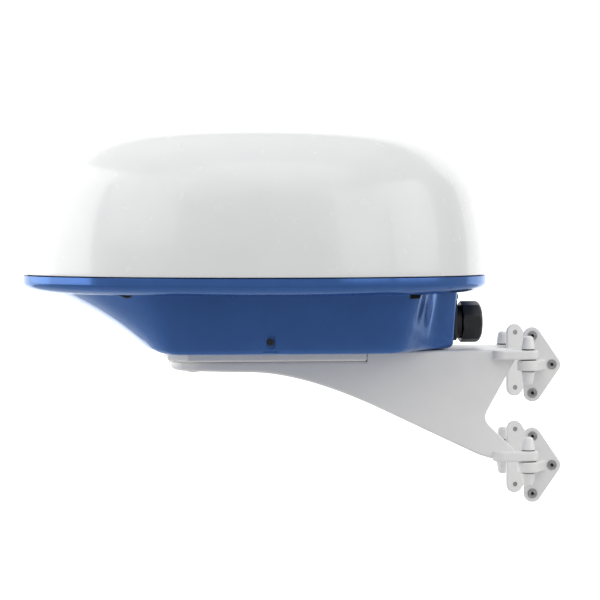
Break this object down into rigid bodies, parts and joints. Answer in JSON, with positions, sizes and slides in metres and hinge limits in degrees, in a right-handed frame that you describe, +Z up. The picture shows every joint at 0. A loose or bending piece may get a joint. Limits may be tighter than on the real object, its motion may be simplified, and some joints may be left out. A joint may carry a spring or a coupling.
{
  "type": "radar dome antenna",
  "caption": "Closed-dome marine radar: white dome on a blue base, geared scanner inside, on a cast mast bracket with hinged, riveted feet.",
  "frame": {"origin": "on the axis of the mast that the feet clasp, midway between the upper and lower feet", "axes": "+Z up along the mast, -X ahead towards the radome, -Y to port and +Y to starboard"},
  "size_m": [0.5785, 0.5, 0.405],
  "materials": {
    "white_gelcoat": "high gloss white gelcoat",
    "blue_gloss_plastic": "high gloss blue moulded plastic",
    "black_rubber": "matt",
    "black_nylon": "satin moulded nylon",
    "stainless_steel": "turned and ground",
    "rivet_steel": "satin",
    "bare_aluminium": "as machined",
    "gear_nylon": "satin natural nylon",
    "motor_black": "satin black",
    "tin_plate": "bright tin plate",
    "magnetron_copper": "dull plated copper",
    "circuit_board": "solder-masked board",
    "white_powder_coat": "fine-textured white powder coat",
    "white_cap_plastic": "satin white plastic"
  },
  "bodies": {
    "fixed_structure": {"base_housing": "blue_gloss_plastic", "rim_seal": "black_rubber", "gland_seal": "black_rubber", "gland_flange": "black_nylon", "gland_body": "black_nylon", "gland_nut": "black_nylon", "drain_plug": "black_nylon", "dome_bolt_1": "stainless_steel", "dome_bolt_2": "stainless_steel", "dome_bolt_3": "stainless_steel", "dome_bolt_4": "stainless_steel", "mount_bolt_1": "stainless_steel", "mount_bolt_2": "stainless_steel", "mount_bolt_3": "stainless_steel", "mount_bolt_4": "stainless_steel", "upper_bearing": "stainless_steel", "lower_bearing": "stainless_steel", "chassis_plate": "bare_aluminium", "bearing_housing": "bare_aluminium", "drive_motor": "motor_black", "transceiver_case": "tin_plate", "magnetron": "magnetron_copper", "modulator_board": "circuit_board", "bracket_frame": "white_powder_coat", "platform_plate": "white_powder_coat", "pin_upper_port": "rivet_steel", "pin_upper_starboard": "rivet_steel", "pin_lower_port": "rivet_steel", "pin_lower_starboard": "rivet_steel", "cap_upper_port_top": "white_cap_plastic", "cap_upper_port_bottom": "white_cap_plastic", "cap_upper_starboard_top": "white_cap_plastic", "cap_upper_starboard_bottom": "white_cap_plastic", "cap_lower_port_top": "white_cap_plastic", "cap_lower_port_bottom": "white_cap_plastic", "cap_lower_starboard_top": "white_cap_plastic", "cap_lower_starboard_bottom": "white_cap_plastic"},
    "dome": {"dome_cover": "white_gelcoat"},
    "scanner": {"rotor_shaft": "stainless_steel", "main_gear": "gear_nylon", "array_holder": "bare_aluminium", "array_reflector": "bare_aluminium", "slotted_guide": "tin_plate"},
    "pinion": {"motor_pinion": "gear_nylon"},
    "foot_upper_port": {"foot_upper_port": "white_powder_coat", "rivet_upper_port_1": "rivet_steel", "rivet_upper_port_2": "rivet_steel", "rivet_upper_port_3": "rivet_steel"},
    "foot_upper_starboard": {"foot_upper_starboard": "white_powder_coat", "rivet_upper_starboard_1": "rivet_steel", "rivet_upper_starboard_2": "rivet_steel", "rivet_upper_starboard_3": "rivet_steel"},
    "foot_lower_port": {"foot_lower_port": "white_powder_coat", "rivet_lower_port_1": "rivet_steel", "rivet_lower_port_2": "rivet_steel", "rivet_lower_port_3": "rivet_steel"},
    "foot_lower_starboard": {"foot_lower_starboard": "white_powder_coat", "rivet_lower_starboard_1": "rivet_steel", "rivet_lower_starboard_2": "rivet_steel", "rivet_lower_starboard_3": "rivet_steel"}
  },
  "joints": [
    {"name": "dome_lift", "type": "slide", "parent": "fixed_structure", "child": "dome", "axis": [0, 0, 1], "range_m": [0, 0.18]},
    {"name": "scanner_spin", "type": "hinge", "parent": "fixed_structure", "child": "scanner", "pos_m": [-0.316, 0, 0.152], "axis": [0, 0, 1], "continuous": true},
    {"name": "pinion_spin", "type": "hinge", "parent": "fixed_structure", "child": "pinion", "pos_m": [-0.316, 0.05415, 0.152], "axis": [0, 0, 1], "continuous": true},
    {"name": "foot_upper_port_hinge", "type": "hinge", "parent": "fixed_structure", "child": "foot_upper_port", "pos_m": [-0.027, -0.06, 0.0545], "axis": [0, 0, 1], "range_deg": [-50, 12]},
    {"name": "foot_upper_starboard_hinge", "type": "hinge", "parent": "fixed_structure", "child": "foot_upper_starboard", "pos_m": [-0.027, 0.06, 0.0545], "axis": [0, 0, 1], "range_deg": [-12, 50]},
    {"name": "foot_lower_port_hinge", "type": "hinge", "parent": "fixed_structure", "child": "foot_lower_port", "pos_m": [-0.027, -0.06, -0.0545], "axis": [0, 0, 1], "range_deg": [-50, 12]},
    {"name": "foot_lower_starboard_hinge", "type": "hinge", "parent": "fixed_structure", "child": "foot_lower_starboard", "pos_m": [-0.027, 0.06, -0.0545], "axis": [0, 0, 1], "range_deg": [-12, 50]}
  ],
  "couplings": [
    {"joint": "pinion_spin", "follows": "scanner_spin", "ratio": -4}
  ]
}
